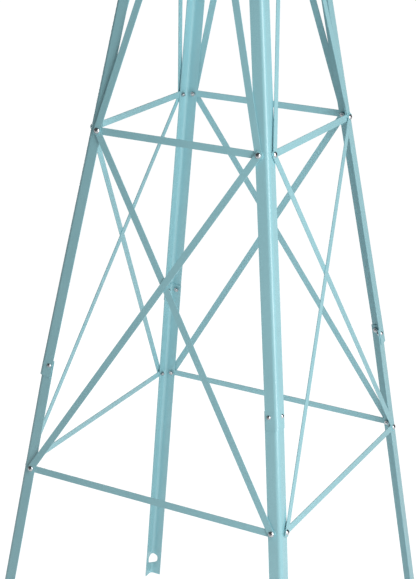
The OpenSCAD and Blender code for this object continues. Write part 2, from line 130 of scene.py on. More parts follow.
def remap(tree, value, fromLow, fromHigh, toLow, toHigh, x=0, y=0):
    node = addNode(tree, "ShaderNodeMapRange", x, y)
    for index, item in enumerate((value, fromLow, fromHigh, toLow, toHigh)):
        feed(tree, node.inputs[index], item)
    return node.outputs[0]


def mixColour(tree, factor, first, second, x=0, y=0):
    node = addNode(tree, "ShaderNodeMix", x, y, data_type="RGBA")
    for index, item in ((0, factor), (6, first), (7, second)):
        feed(tree, node.inputs[index], item)
    return node.outputs[2]


def newGroup(name, inputs, outputs):
    tree = bpy.data.node_groups.new(name, "ShaderNodeTree")
    for label, value in inputs:
        socket = tree.interface.new_socket(label, in_out="INPUT", socket_type="NodeSocketFloat")
        socket.default_value = value
    for label in outputs:
        tree.interface.new_socket(label, in_out="OUTPUT", socket_type="NodeSocketFloat")
    return tree, tree.nodes.new("NodeGroupInput"), tree.nodes.new("NodeGroupOutput")


def noise(tree, vector, scale, detail, x=0, y=0):
    node = addNode(tree, "ShaderNodeTexNoise", x, y)
    node.inputs["Detail"].default_value = detail
    feed(tree, node.inputs["Scale"], scale)
    tree.links.new(vector, node.inputs["Vector"])
    return node.outputs[0]


# ---- effects that several finishes share

def buildCoatGrain():
    # baked powder: a fine orange peel on a slow unevenness of film thickness
    tree, given, out = newGroup(
        "coatGrain",
        [("Peel Scale", 900.0), ("Drift Scale", 9.0), ("Rough Low", 0.3), ("Rough High", 0.4)],
        ["Height", "Roughness", "Drift"],
    )
    where = addNode(tree, "ShaderNodeTexCoord", -900, 0).outputs["Object"]
    peel = noise(tree, where, given.outputs["Peel Scale"], 2.0, -600, 200)
    poreScale = mathNode(tree, "MULTIPLY", given.outputs["Peel Scale"], 3.1, -800, -50)
    pores = noise(tree, where, poreScale, 1.0, -600, 0)
    drift = noise(tree, where, given.outputs["Drift Scale"], 4.0, -600, -250)
    fine = mathNode(tree, "MULTIPLY", pores, 0.35, -350, 0)
    tree.links.new(mathNode(tree, "ADD", peel, fine, -150, 150), out.inputs["Height"])
    finePart = mathNode(tree, "MULTIPLY", peel, 0.4, -350, 250)
    slowPart = mathNode(tree, "MULTIPLY", drift, 0.6, -350, -250)
    blend = mathNode(tree, "ADD", finePart, slowPart, -200, -50)
    low, high = given.outputs["Rough Low"], given.outputs["Rough High"]
    tree.links.new(remap(tree, blend, 0.35, 0.65, low, high, 0, -50), out.inputs["Roughness"])
    tree.links.new(remap(tree, drift, 0.3, 0.7, 0.0, 1.0, 0, -300), out.inputs["Drift"])
    return tree


def buildEdgeRub():
    # corners and sheet edges, broken up by noise: a mask for a lighter colour that is partly edge wear
    # and partly a painted edge highlight
    tree, given, out = newGroup("edgeWearAndHighlight", [("Edge Width", 0.0006), ("Break Scale", 240.0)], ["Mask"])
    soft = addNode(tree, "ShaderNodeBevel", -700, 100, samples=4)
    tree.links.new(given.outputs["Edge Width"], soft.inputs["Radius"])
    plain = addNode(tree, "ShaderNodeNewGeometry", -700, -100).outputs["Normal"]
    facing = addNode(tree, "ShaderNodeVectorMath", -450, 50, operation="DOT_PRODUCT")
    tree.links.new(soft.outputs[0], facing.inputs[0])
    tree.links.new(plain, facing.inputs[1])
    edge = remap(tree, facing.outputs["Value"], 0.995, 0.86, 0.0, 1.0, -250, 50)
    where = addNode(tree, "ShaderNodeTexCoord", -900, -300).outputs["Object"]
    chips = noise(tree, where, given.outputs["Break Scale"], 3.0, -600, -300)
    broken = remap(tree, chips, 0.38, 0.62, 0.25, 1.0, -350, -300)
    tree.links.new(mathNode(tree, "MULTIPLY", edge, broken, -50, 0), out.inputs["Mask"])
    return tree


def buildGroundDust():
    # a trace of dry dust on faces that look up and on the last few centimetres of the feet
    tree, given, out = newGroup("groundDust", [("Amount", 0.1), ("Splash Height", 0.09)], ["Mask"])
    geometry = addNode(tree, "ShaderNodeNewGeometry", -900, 0)
    lean = addNode(tree, "ShaderNodeSeparateXYZ", -700, 100)
    tree.links.new(geometry.outputs["Normal"], lean.inputs[0])
    upward = remap(tree, lean.outputs["Z"], 0.3, 1.0, 0.0, 1.0, -500, 100)
    where = addNode(tree, "ShaderNodeTexCoord", -1100, -250).outputs["Object"]
    place = addNode(tree, "ShaderNodeSeparateXYZ", -700, -200)
    tree.links.new(where, place.inputs[0])
    splash = remap(tree, place.outputs["Z"], 0.0, given.outputs["Splash Height"], 0.8, 0.0, -500, -200)
    speckle = remap(tree, noise(tree, where, 60.0, 5.0, -700, -420), 0.42, 0.66, 0.0, 1.0, -500, -420)
    either = mathNode(tree, "MAXIMUM", upward, splash, -300, 0)
    spread = mathNode(tree, "MULTIPLY", either, speckle, -150, -100)
    tree.links.new(mathNode(tree, "MULTIPLY", spread, given.outputs["Amount"], 0, 0), out.inputs["Mask"])
    return tree


coatGrain = buildCoatGrain()
edgeWearAndHighlight = buildEdgeRub()
groundDust = buildGroundDust()


def placeGroup(tree, group, x, y, **values):
    node = addNode(tree, "ShaderNodeGroup", x, y)
    node.node_tree = group
    for label, value in values.items():
        node.inputs[label.replace("_", " ")].default_value = value
    return node


def startMaterial(name):
    material = bpy.data.materials.new(name)
    material.use_nodes = True
    tree = material.node_tree
    return material, tree, tree.nodes["Principled BSDF"]


def addBump(tree, shader, height, strength, distance):
    bump = addNode(tree, "ShaderNodeBump", -200, -400)
    bump.inputs["Strength"].default_value = strength
    bump.inputs["Distance"].default_value = distance
    tree.links.new(height, bump.inputs["Height"])
    tree.links.new(bump.outputs[0], shader.inputs["Normal"])


def powderCoat(s):
    material, tree, shader = startMaterial(s["name"])
    grain = placeGroup(
        tree, coatGrain, -900, 0,
        Peel_Scale=s["peelScale"], Drift_Scale=s["driftScale"],
        Rough_Low=s["roughLow"], Rough_High=s["roughHigh"],
    )
    edgeWearLight = placeGroup(tree, edgeWearAndHighlight, -900, -300, Edge_Width=s["edgeWidth"])
    dust = placeGroup(tree, groundDust, -900, -500, Amount=s["dust"])
    film = mixColour(tree, grain.outputs["Drift"], s["thin"], s["full"], -600, 100)
    # lighter teal on corners and edges: partly wear, partly a painted edge highlight
    edge = mathNode(tree, "MULTIPLY", edgeWearLight.outputs["Mask"], s["edgeHighlightShow"], -650, -250)
    edgeHighlighted = mixColour(tree, edge, film, s["edgeHighlightColour"], -400, 100)
    dusted = mixColour(tree, dust.outputs["Mask"], edgeHighlighted, s["dustColour"], -200, 100)
    tree.links.new(dusted, shader.inputs["Base Color"])
    dull = mathNode(tree, "MULTIPLY", dust.outputs["Mask"], s["dustDull"], -450, -480)
    rough = mathNode(tree, "ADD", grain.outputs["Roughness"], dull, -250, -120)
    tree.links.new(rough, shader.inputs["Roughness"])
    addBump(tree, shader, grain.outputs["Height"], s["peelStrength"], s["peelDepth"])
    shader.inputs["IOR"].default_value = s["index"]
    shader.inputs["Specular IOR Level"].default_value = s["gloss"]
    shader.inputs["Coat Weight"].default_value = s["skin"]
    shader.inputs["Coat Roughness"].default_value = s["skinRough"]
    return material


coatSet = {
    "name": "tealPowderCoat",
    "thin": (0.325, 0.612, 0.668, 1),
    "full": (0.305, 0.584, 0.642, 1),
    "edgeHighlightColour": (0.42, 0.70, 0.75, 1),
    "edgeHighlightShow": 0.18,
    "edgeWidth": 0.0006,
    "peelScale": 850.0,
    "driftScale": 8.0,
    "peelStrength": 0.35,
    "peelDepth": 0.00002,
    "roughLow": 0.25,
    "roughHigh": 0.33,
    "index": 1.5,
    "gloss": 0.5,
    "skin": 0.35,
    "skinRough": 0.13,
    "dust": 0.12,
    "dustColour": (0.56, 0.54, 0.5, 1),
    "dustDull": 0.5,
}
strapCoatSet = dict(
    coatSet, name="tealStrapCoat", driftScale=14.0,
    roughLow=0.28, roughHigh=0.36, edgeHighlightShow=0.06, dust=0.06, skin=0.15,
)
sailCoatSet = dict(
    coatSet, name="tealSailCoat", driftScale=5.0,
    roughLow=0.26, roughHigh=0.34, dust=0.08, skin=0.2,
)
castCoatSet = dict(
    coatSet, name="tealHousingCoat", peelScale=420.0, peelStrength=0.55,
    roughLow=0.38, roughHigh=0.5, edgeWidth=0.0012,
)


def zincPlate(s):
    # bright electroplate: soft crystal patches, a little hazier in places
    material, tree, shader = startMaterial(s["name"])
    where = addNode(tree, "ShaderNodeTexCoord", -1100, 0).outputs["Object"]
    patches = addNode(tree, "ShaderNodeTexVoronoi", -900, 150)
    patches.inputs["Scale"].default_value = s["patchScale"]
    tree.links.new(where, patches.inputs["Vector"])
    haze = noise(tree, where, s["hazeScale"], 4.0, -900, -150)
    tint = remap(tree, patches.outputs["Distance"], 0.0, 0.8, 0.0, 1.0, -700, 150)
    plate = mixColour(tree, tint, s["bright"], s["deep"], -500, 150)
    edgeWearLight = placeGroup(
        tree, edgeWearAndHighlight, -900, -350, Edge_Width=s["edgeWidth"], Break_Scale=s["breakScale"],
    )
    # brighter zinc on the edges: partly wear, partly a painted edge highlight
    wornAndLitEdge = mixColour(tree, edgeWearLight.outputs["Mask"], plate, s["wornAndLitEdge"], -250, 150)
    tree.links.new(wornAndLitEdge, shader.inputs["Base Color"])
    rough = remap(tree, haze, 0.35, 0.65, s["roughLow"], s["roughHigh"], -500, -150)
    tree.links.new(rough, shader.inputs["Roughness"])
    addBump(tree, shader, haze, s["bump"], s["bumpDepth"])
    shader.inputs["Metallic"].default_value = 1.0
    return material


zincSet = {
    "name": "zincPlate",
    "bright": (0.66, 0.67, 0.69, 1),
    "deep": (0.48, 0.49, 0.51, 1),
    "wornAndLitEdge": (0.88, 0.88, 0.9, 1),
    "patchScale": 900.0,
    "hazeScale": 420.0,
    "edgeWidth": 0.0004,
    "breakScale": 700.0,
    "roughLow": 0.10,
    "roughHigh": 0.19,
    "bump": 0.3,
    "bumpDepth": 0.00003,
}


def groundSteel(s):
    # turned and ground bar: fine rings round the part with an oily sheen
    material, tree, shader = startMaterial(s["name"])
    where = addNode(tree, "ShaderNodeTexCoord", -1100, 0).outputs["Object"]
    rings = addNode(tree, "ShaderNodeTexWave", -900, 150, wave_type="BANDS", bands_direction="Y")
    rings.inputs["Scale"].default_value = s["ringScale"]
    rings.inputs["Distortion"].default_value = s["ringWaver"]
    rings.inputs["Detail"].default_value = s["ringDetail"]
    tree.links.new(where, rings.inputs["Vector"])
    smear = noise(tree, where, s["smearScale"], 4.0, -900, -150)
    film = mixColour(tree, smear, s["clean"], s["oiled"], -500, 150)
    rough = remap(tree, smear, 0.3, 0.7, s["roughLow"], s["roughHigh"], -500, -150)
    tree.links.new(film, shader.inputs["Base Color"])
    tree.links.new(rough, shader.inputs["Roughness"])
    addBump(tree, shader, rings.outputs["Color"], s["bump"], s["bumpDepth"])
    shader.inputs["Metallic"].default_value = 1.0
    return material


steelSet = {
    "name": "groundSteel",
    "clean": (0.62, 0.62, 0.64, 1),
    "oiled": (0.46, 0.45, 0.44, 1),
    "ringScale": 700.0,
    "ringWaver": 1.2,
    "ringDetail": 3.0,
    "smearScale": 90.0,
    "roughLow": 0.18,
    "roughHigh": 0.34,
    "bump": 0.4,
    "bumpDepth": 0.00002,
}


def mouldedNylon(s):
    material, tree, shader = startMaterial(s["name"])
    grain = placeGroup(
        tree, coatGrain, -900, 0, Peel_Scale=s["grainScale"], Drift_Scale=s["driftScale"],
        Rough_Low=s["roughLow"], Rough_High=s["roughHigh"],
    )
    edgeWearLight = placeGroup(tree, edgeWearAndHighlight, -900, -300, Edge_Width=s["edgeWidth"])
    body = mixColour(tree, grain.outputs["Drift"], s["dark"], s["pale"], -600, 100)
    # paler nylon on the edges: partly scuffing, partly a painted edge highlight
    scuffedAndHighlighted = mixColour(tree, edgeWearLight.outputs["Mask"], body, s["scuffAndHighlight"], -350, 100)
    tree.links.new(scuffedAndHighlighted, shader.inputs["Base Color"])
    tree.links.new(grain.outputs["Roughness"], shader.inputs["Roughness"])
    addBump(tree, shader, grain.outputs["Height"], s["bump"], s["bumpDepth"])
    return material


nylonSet = {
    "name": "blackNylon",
    "dark": (0.012, 0.012, 0.013, 1),
    "pale": (0.022, 0.022, 0.024, 1),
    "scuffAndHighlight": (0.06, 0.06, 0.062, 1),
    "grainScale": 1400.0,
    "driftScale": 40.0,
    "edgeWidth": 0.0005,
    "roughLow": 0.48,
    "roughHigh": 0.62,
    "bump": 0.4,
    "bumpDepth": 0.00005,
}


legCoat = powderCoat(coatSet)
strapCoat = powderCoat(strapCoatSet)
sailCoat = powderCoat(sailCoatSet)
housingCoat = powderCoat(castCoatSet)
zinc = zincPlate(zincSet)
steel = groundSteel(steelSet)
nylon = mouldedNylon(nylonSet)

finishOf = {
    "teal_powder_coat": legCoat,
    "zinc_plate": zinc,
    "ground_steel": steel,
    "black_nylon": nylon,
}
ownFinish = {
    "head_housing": housingCoat,
    "wheel_hub": housingCoat,
    "mast": housingCoat,
    "sails": sailCoat,
    "tail_vane": sailCoat,
}
for entry in frame["record"]["subparts"]:
    name = entry["node"]
    finish = ownFinish.get(name, finishOf[entry["material_slot"]])
    if "_rail_" in name or "_brace_" in name:
        finish = strapCoat
    for slotHolder in frame["nodes"][name].material_slots:
        slotHolder.material = finish
print("finishes set on", len(frame["nodes"]), "nodes")


# ---- mesh helpers

def toObject(name, mesh, body, finish):
    piece = bpy.data.objects.new(name, mesh)
    bpy.context.scene.collection.objects.link(piece)
    mesh.materials.clear()
    mesh.materials.append(finish)
    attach(piece, body)
    return piece


def meshFrom(points, faces, name="part"):
    mesh = bpy.data.meshes.new(name)
    mesh.from_pydata([tuple(p) for p in points], [], faces)
    mesh.update()
    return mesh


def lathe(profile, steps=32):
    # closed turned shape round Z from (radius, height) points, first and last on the axis
    points = [Vector((0, 0, profile[0][1]))]
    faces = []
    for radius, height in profile[1:-1]:
        for step in range(steps):
            turn = 2 * math.pi * step / steps
            points.append(Vector((radius * math.cos(turn), radius * math.sin(turn), height)))
    points.append(Vector((0, 0, profile[-1][1])))
    rows = len(profile) - 2
    last = len(points) - 1
    for step in range(steps):
        after = (step + 1) % steps
        faces.append((0, 1 + after, 1 + step))
        faces.append((last, 1 + (rows - 1) * steps + step, 1 + (rows - 1) * steps + after))
        for row in range(rows - 1):
            here = 1 + row * steps
            above = here + steps
            faces.append((here + step, here + after, above + after, above + step))
    return meshFrom(points, faces)


def prism(outline, low, high):
    count = len(outline)
    points = [Vector((x, y, z)) for z in (low, high) for x, y in outline]
    faces = [tuple(reversed(range(count))), tuple(range(count, 2 * count))]
    for i in range(count):
        after = (i + 1) % count
        faces.append((i, after, count + after, count + i))
    return meshFrom(points, faces)


def combine(target, tool, operation):
    # one boolean, with both helpers thrown away afterwards
    holder = bpy.data.objects.new("holder", target)
    cutter = bpy.data.objects.new("cutter", tool)
    for item in (holder, cutter):
        bpy.context.scene.collection.objects.link(item)
    step = holder.modifiers.new("cut", "BOOLEAN")
    step.operation = operation
    step.solver = "EXACT"
    step.object = cutter
    bpy.context.view_layer.update()
    depsgraph = bpy.context.evaluated_depsgraph_get()
    result = bpy.data.meshes.new_from_object(holder.evaluated_get(depsgraph))
    bpy.data.objects.remove(holder)
    bpy.data.objects.remove(cutter)
    return result


def smoothBelow(mesh, angle):
    work = bmesh.new()
    work.from_mesh(mesh)
    for face in work.faces:
        face.smooth = True
    for edge in work.edges:
        edge.smooth = len(edge.link_faces) == 2 and edge.calc_face_angle() < math.radians(angle)
    work.to_mesh(mesh)
    work.free()


def gather(parts):
    # joins (mesh, matrix) pairs into one mesh
    work = bmesh.new()
    for mesh, matrix in parts:
        copy = mesh.copy()
        copy.transform(matrix)
        work.from_mesh(copy)
        bpy.data.meshes.remove(copy)
    joined = bpy.data.meshes.new("joined")
    work.to_mesh(joined)
    work.free()
    return joined


def solidsOf(node):
    # each separate solid of a node as its welded corners and its faces
    work = bmesh.new()
    work.from_mesh(frame["nodes"][node].data)
    bmesh.ops.remove_doubles(work, verts=work.verts, dist=1e-6)
    work.verts.ensure_lookup_table()
    seen = set()
    found = []
    for start in work.verts:
        if start.index in seen:
            continue
        seen.add(start.index)
        queue = [start]
        faces = set()
        spots = []
        while queue:
            vert = queue.pop()
            spots.append(vert.co.copy())
            for face in vert.link_faces:
                faces.add(face)
            for edge in vert.link_edges:
                other = edge.other_vert(vert)
                if other.index not in seen:
                    seen.add(other.index)
                    queue.append(other)
        normals = np.array([list(f.normal * math.sqrt(f.calc_area())) for f in faces])
        found.append((np.array([list(p) for p in spots]), normals))
    work.free()
    return found


def turnedPlace(spots, normals):
    # axis, head end and reach of one turned solid, the axis pointing to its widest end
    values, vectors = np.linalg.eigh(normals.T @ normals)
    odd = 0 if values[1] - values[0] > values[2] - values[1] else 2
    axis = vectors[:, odd]
    centre = spots.mean(0)
    along = (spots - centre) @ axis
    out = np.linalg.norm((spots - centre) - along[:, None] * axis, axis=1)
    onRim = out > 0.85 * out.max()
    if along[onRim].mean() < (along.min() + along.max()) / 2:
        axis, along = -axis, -along
    corner = spots[out.argmax()] - centre
    # centre line from the middle of the widest ring
    base = spots[onRim].mean(0)
    base = base + axis * (along.max() - (base - centre) @ axis)
    return Vector(base), Vector(axis), along.max() - along.min(), out.max(), Vector(corner)


def aimAlong(place, axis, towards=Vector((0, 0, 1))):
    z = axis.normalized()
    x = towards - z * towards.dot(z)
    if x.length < 1e-6:
        x = z.orthogonal()
    x.normalize()
    y = z.cross(x)
    return Matrix.Translation(place) @ Matrix((x, y, z)).transposed().to_4x4()


def fastenerPiece(name, node, body, parts, angle):
    mesh = gather(parts)
    smoothBelow(mesh, angle)
    piece = toObject(name, mesh, body, zinc)
    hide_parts(node)


# ---- domed bolts with a cross recess and rolled thread

boltSet = {
    "headHeight": 3.0,     # millimetres from here on
    "shankRadius": 2.5,
    "domeInset": 0.135,
    "rimShape": ((0.02, 0.2475), (0.1125, 0.054), (0.36, 0.0)),
    "neck": 0.8,
    "recessWidth": 1.15,
    "recessReach": 2.7,
    "recessDepth": 1.7,
    "threadPitch": 0.8,
    "threadDepth": 0.4,
    "threadLength": 7.0,
    "threadInset": 0.02,
    "pointLength": 1.6,
    "pointShare": 0.75,    # shares of a width from here on
    "recessNear": 0.45,
    "recessTip": 0.7,
    "recessFloor": 0.45,
    "domeSteps": 7,
    "headSteps": 40,
    "threadSteps": 20,
    "rowsPerPitch": 5,
    "smoothAngle": 38,
}


def domedBolt(length, headRadius, s):
    # head top at z = 0, shank downwards
    headHeight, shankRadius = s["headHeight"], s["shankRadius"]
    domeRadius = (headRadius ** 2 + headHeight ** 2) / (2 * headHeight)
    profile = [(0, 0)]
    reach = math.asin(min(1, (headRadius - s["domeInset"]) / domeRadius))
    for i in range(1, s["domeSteps"] + 1):
        lean = reach * i / s["domeSteps"]
        profile.append((domeRadius * math.sin(lean), domeRadius * math.cos(lean) - domeRadius))
    for inset, lift in s["rimShape"]:
        profile.append((headRadius - inset, lift - headHeight))
    top = -headHeight - s["neck"]
    profile += [(shankRadius, -headHeight), (shankRadius, top), (0, top)]
    head = lathe([(r * mm, z * mm) for r, z in reversed(profile)], s["headSteps"])
    wide, far = s["recessWidth"] / 2, s["recessReach"]
    near, tip = s["recessNear"] * far, s["recessTip"] * wide
    star = []
    for quarter in range(4):
        turn = math.pi / 2 * quarter
        for x, y in ((far, -tip), (far, tip), (near, wide), (wide, near)):
            star.append((
                (x * math.cos(turn) - y * math.sin(turn)) * mm,
                (x * math.sin(turn) + y * math.cos(turn)) * mm,
            ))
    cross = prism(star, -s["recessDepth"] * mm, mm)
    for vert in cross.vertices:
        if vert.co.z < 0:
            vert.co.x *= s["recessFloor"]
            vert.co.y *= s["recessFloor"]
    head = combine(head, cross, "DIFFERENCE")
    # the rolled thread is a screw surface, tapered off at its point
    low = -length
    threadTop = low + s["threadLength"]
    steps = s["threadSteps"]
    rows = int((top - low) / (s["threadPitch"] / s["rowsPerPitch"]))
    points = []
    for row in range(rows + 1):
        height = top + (low - top) * row / rows
        for step in range(steps):
            turn = 2 * math.pi * step / steps
            phase = (height / s["threadPitch"] - step / steps) % 1.0
            groove = s["threadDepth"] * (1 - abs(2 * phase - 1)) if height < threadTop else 0
            point = min(1.0, s["pointShare"] + (height - low) / s["pointLength"])
            radius = (shankRadius - s["threadInset"] - groove) * point
            points.append(Vector((radius * math.cos(turn), radius * math.sin(turn), height)) * mm)
    faces = [tuple(range(steps)), tuple(reversed(range(rows * steps, rows * steps + steps)))]
    for row in range(rows):
        for step in range(steps):
            after = (step + 1) % steps
            here = row * steps
            faces.append((here + after, here + step, here + steps + step, here + steps + after))
    shank = meshFrom(points, faces)
    return gather([(head, Matrix.Identity(4)), (shank, Matrix.Identity(4))])


def boltGroup(name, node, body, s):
    # one detailed copy for each solid of the node, in the same place and inside the same envelope
    random.seed(7)
    cache = {}
    parts = []
    for spots, normals in solidsOf(node):
        top, axis, length, radius = turnedPlace(spots, normals)[:4]
        key = (round(length / mm, 1), round(radius / mm, 1))
        if key not in cache:
            cache[key] = domedBolt(*key, s)
        spin = Matrix.Rotation(random.uniform(0, math.pi), 4, "Z")
        parts.append((cache[key], aimAlong(top, axis) @ spin))
    fastenerPiece(name, node, body, parts, s["smoothAngle"])


for pieceName, node, body in (
    ("ringBolts", "ring_bolts", "tower"),
    ("spliceBolts", "splice_bolts", "tower"),
    ("mastBolts", "mast_bolts", "tower"),
    ("tailBolts", "tail_bolts", "head"),
):
    boltGroup(pieceName, node, body, boltSet)
print("bolts made")


# ---- hexagon nuts with turned corners

nutSet = {
    "boltBore": 2.5,       # millimetres, the radius of each bore
    "shaftBore": 5.02,
    "boreInset": 0.02,
    "cornerFall": 0.715,
    "mouth": 0.4,
    "threadDepth": 0.3,
    "threadPitch": 0.8,
    "flatShare": 0.96,     # where the turned corner starts, and how far out it runs
    "cornerShare": 1.04,
    "turnSteps": 48,
    "boreSteps": 28,
    "smoothAngle": 25,
}


def hexNut(height, cornerRadius, boreRadius, s):
    # nut standing on z = 0 with its height downwards
    sixth = math.pi / 3
    hexagon = [
        (cornerRadius * mm * math.cos(sixth * i), cornerRadius * mm * math.sin(sixth * i))
        for i in range(6)
    ]
    block = prism(hexagon, -height * mm, 0)
    flat = s["flatShare"] * cornerRadius * math.cos(math.pi / 6)
    corner = s["cornerShare"] * cornerRadius
    fall = s["cornerFall"]
    turned = lathe([(r * mm, z * mm) for r, z in (
        (0, -height), (flat, -height), (corner, fall - height), (corner, -fall), (flat, 0), (0, 0),
    )], s["turnSteps"])
    block = combine(block, turned, "INTERSECT")
    mouth = boreRadius + s["mouth"]
    rows = [(0, -height - 1), (mouth, -height - 1), (mouth, -height)]
    level = -height + s["mouth"]
    while level < -s["mouth"] - s["threadPitch"]:
        rows.append((boreRadius + s["boreInset"], level))
        rows.append((boreRadius + s["threadDepth"], level + s["threadPitch"] / 2))
        level += s["threadPitch"]
    rows += [(boreRadius + s["boreInset"], -s["mouth"]), (mouth, 0), (mouth, 1), (0, 1)]
    bore = lathe([(r * mm, z * mm) for r, z in rows], s["boreSteps"])
    return combine(block, bore, "DIFFERENCE")


def nutGroup(name, node, body, boreRadius, s):
    cache = {}
    parts = []
    for spots, normals in solidsOf(node):
        axis, length, radius, corner = turnedPlace(spots, normals)[1:]
        centre = Vector(spots.mean(0))
        key = (round(length / mm, 2), round(radius / mm, 2))
        if key not in cache:
            cache[key] = hexNut(*key, boreRadius, s)
        parts.append((cache[key], aimAlong(centre + axis * (length / 2), axis, corner)))
    fastenerPiece(name, node, body, parts, s["smoothAngle"])


nutGroup("ringNuts", "ring_nuts", "tower", nutSet["boltBore"], nutSet)
nutGroup("spliceNuts", "splice_nuts", "tower", nutSet["boltBore"], nutSet)
nutGroup("tailNuts", "tail_nuts", "head", nutSet["boltBore"], nutSet)
nutGroup("shaftNuts", "shaft_nuts", "wheel", nutSet["shaftBore"], nutSet)
print("nuts made")


# ---- painted weld beads on the mast, the head and the wheel

weldSet = {
    "radius": 1.5,         # millimetres from here on
    "tackRadius": 0.85,
    "ripple": 1.7,
    "step": 0.45,
    "lift": 0.2,
    "collarClear": 5.0,
    "hoopInset": 0.4,
    "armDepth": 0.85,
    "armHalf": 4.8,
    "sheet": 1.0,
    "rippleDepth": 0.2,    # shares of the radius from here on
    "wander": 0.16,
    "sink": 0.35,
    "collarShare": 0.8,
    "wanderPace": 0.21,
    "sides": 8,
    "endSteps": 5,
    "endLeast": 0.05,
    "saddleSteps": 96,
    "tackSteps": 28,
    "smoothAngle": 50,
    "sailPitch": 30.0,     # degrees, as the sails are set
    "sailCount": 18,
    "armCount": 6,
}
seamless = Vector((0.31, 0.17, 0.93))    # no bead runs this way


def evenPath(path, closed, step):
    # the same line with its points an equal distance apart
    points = [Vector(p) for p in path]
    if closed:
        points.append(points[0])
    lengths = [0.0]
    for first, second in zip(points, points[1:]):
        lengths.append(lengths[-1] + (second - first).length)
    count = max(4, int(lengths[-1] / step))
    result = []
    leg = 0
    for i in range(count if closed else count + 1):
        want = lengths[-1] * i / count
        while leg < len(points) - 2 and lengths[leg + 1] < want:
            leg += 1
        span = max(lengths[leg + 1] - lengths[leg], 1e-9)
        result.append(points[leg].lerp(points[leg + 1], (want - lengths[leg]) / span))
    return result


def bead(path, closed, radius, s):
    # a fat line with the overlapping ripples that a torch leaves
    line = evenPath(path, closed, s["step"] * mm)
    count = len(line)
    sides = s["sides"]
    drift = random.uniform(0, 6)
    points = []
    for i, place in enumerate(line):
        if closed:
            ahead, behind = line[(i + 1) % count], line[i - 1]
        else:
            ahead, behind = line[min(i + 1, count - 1)], line[max(i - 1, 0)]
        along = (ahead - behind).normalized()
        side = along.cross(seamless).normalized()
        over = along.cross(side)
        phase = (i * s["step"] / s["ripple"]) % 1.0
        wander = s["wander"] * math.sin(i * s["wanderPace"] + drift)
        size = radius * (1 - s["rippleDepth"] * phase + wander)
        if not closed:
            fromEnd = min(i, count - 1 - i) / s["endSteps"]
            size *= math.sqrt(max(s["endLeast"], min(1.0, fromEnd)))
        for k in range(sides):
            turn = 2 * math.pi * k / sides
            points.append(place + size * mm * (side * math.cos(turn) + over * math.sin(turn)))
    faces = []
    for i in range(count if closed else count - 1):
        after = (i + 1) % count
        for k in range(sides):
            beside = (k + 1) % sides
            faces.append((i * sides + k, i * sides + beside, after * sides + beside, after * sides + k))
    if not closed:
        faces.append(tuple(reversed(range(sides))))
        faces.append(tuple(range((count - 1) * sides, count * sides)))
    return meshFrom(points, faces)


def circlePath(radius, height, steps=72):
    return [
        (radius * math.cos(2 * math.pi * i / steps), radius * math.sin(2 * math.pi * i / steps), height)
        for i in range(steps)
    ]


def beadPiece(name, beads, body, finish, angle, place=Matrix.Identity(4)):
    mesh = gather([(each, place) for each in beads])
    smoothBelow(mesh, angle)
    toObject(name, mesh, body, finish)


def wheelPlace():
    # the wheel's own frame: its axis along Z, the first sail along Y
    return Matrix.Translation(middle("outer_hoop")) @ Matrix.Rotation(math.radians(90), 4, "X")


def hoopRadius(node):
    low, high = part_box(node)
    return (high.x - low.x) / 2


def mastWelds(s):
    # round the foot of the tube on its flange, and under the collar
    spots = [v.co for v in frame["nodes"]["mast"].data.vertices]
    widest = max(math.hypot(p.x, p.y) for p in spots)
    top = max(p.z for p in spots)
    tube = max(math.hypot(p.x, p.y) for p in spots if top - p.z < mm)
    flangeTop = max(p.z for p in spots if math.hypot(p.x, p.y) > 0.9 * widest)
    above = [p for p in spots if p.z > flangeTop + s["collarClear"] * mm]
    collar = [p.z for p in above if tube * 1.1 < math.hypot(p.x, p.y) < 0.9 * widest]
    inset = s["radius"] * s["sink"] * mm
    under = circlePath(tube + inset, min(collar) - inset)
    beads = [
        bead(circlePath(tube + inset, flangeTop + inset), True, s["radius"], s),
        bead(under, True, s["radius"] * s["collarShare"], s),
    ]
    beadPiece("mastWelds", beads, "tower", housingCoat, s["smoothAngle"])


def headWelds(s):
    # saddle line where the upright sleeve runs into the level barrel
    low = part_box("head_housing")[0]
    spots = [v.co for v in frame["nodes"]["head_housing"].data.vertices]
    sleeve = max(math.hypot(p.x, p.y) for p in spots if p.z - low.z < mm)
    barrel = max(abs(p.x) for p in spots if p.y - low.y < mm)
    axisHeight = middle("outer_hoop").z
    lift = s["lift"] * mm
    path = []
    for x, y, z in circlePath(sleeve + lift, 0, s["saddleSteps"]):
        drop = math.sqrt(max(0.0, barrel ** 2 - min(abs(x), barrel) ** 2))
        path.append((x, y, axisHeight - drop - lift))
    beads = [bead(path, True, s["radius"], s)]
    beadPiece("headWelds", beads, "head", housingCoat, s["smoothAngle"])


